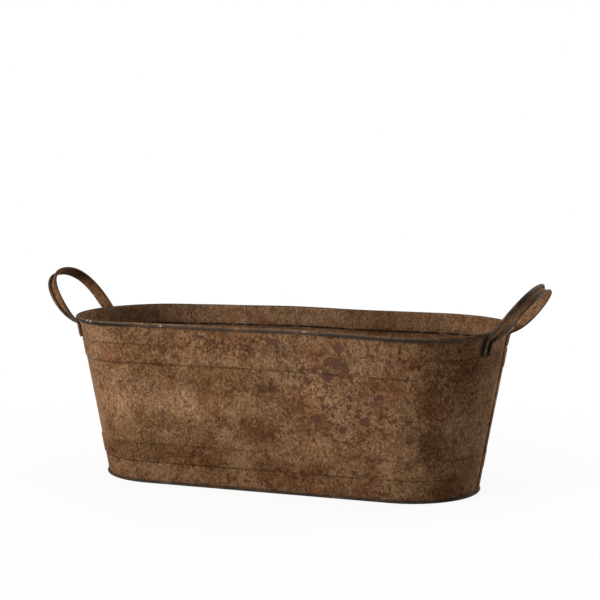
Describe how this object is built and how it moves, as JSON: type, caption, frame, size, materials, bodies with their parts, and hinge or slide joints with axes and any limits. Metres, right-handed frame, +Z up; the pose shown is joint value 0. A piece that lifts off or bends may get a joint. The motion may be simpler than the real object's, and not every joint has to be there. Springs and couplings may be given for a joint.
{
  "type": "oblong planter tub with handles",
  "caption": "Oblong sheet-steel planter tub with tapered walls, wired rim, raised bands, seamed base and a fixed strap handle on each end, in a rusted finish.",
  "frame": {"origin": "on the floor, under the middle of the tub", "axes": "+X along the length towards one handle, +Y to the rear, +Z up"},
  "size_m": [0.5574, 0.2144, 0.2214],
  "materials": {
    "wall": "sheet steel with a mottled brown rust finish, matt",
    "base": "sheet steel, dark and worn at the folded edge",
    "strap": "sheet steel with a rust finish, worn dark on the rolled edges",
    "wire": "bare drawn steel wire inside the rolled edges"
  },
  "bodies": {
    "root": {"front_wall": "wall", "rear_wall": "wall", "base_plate": "base", "rim_wire": "wire", "left_handle": "strap", "left_handle_upper_wire": "wire", "left_handle_lower_wire": "wire", "right_handle": "strap", "right_handle_upper_wire": "wire", "right_handle_lower_wire": "wire"}
  },
  "joints": []
}
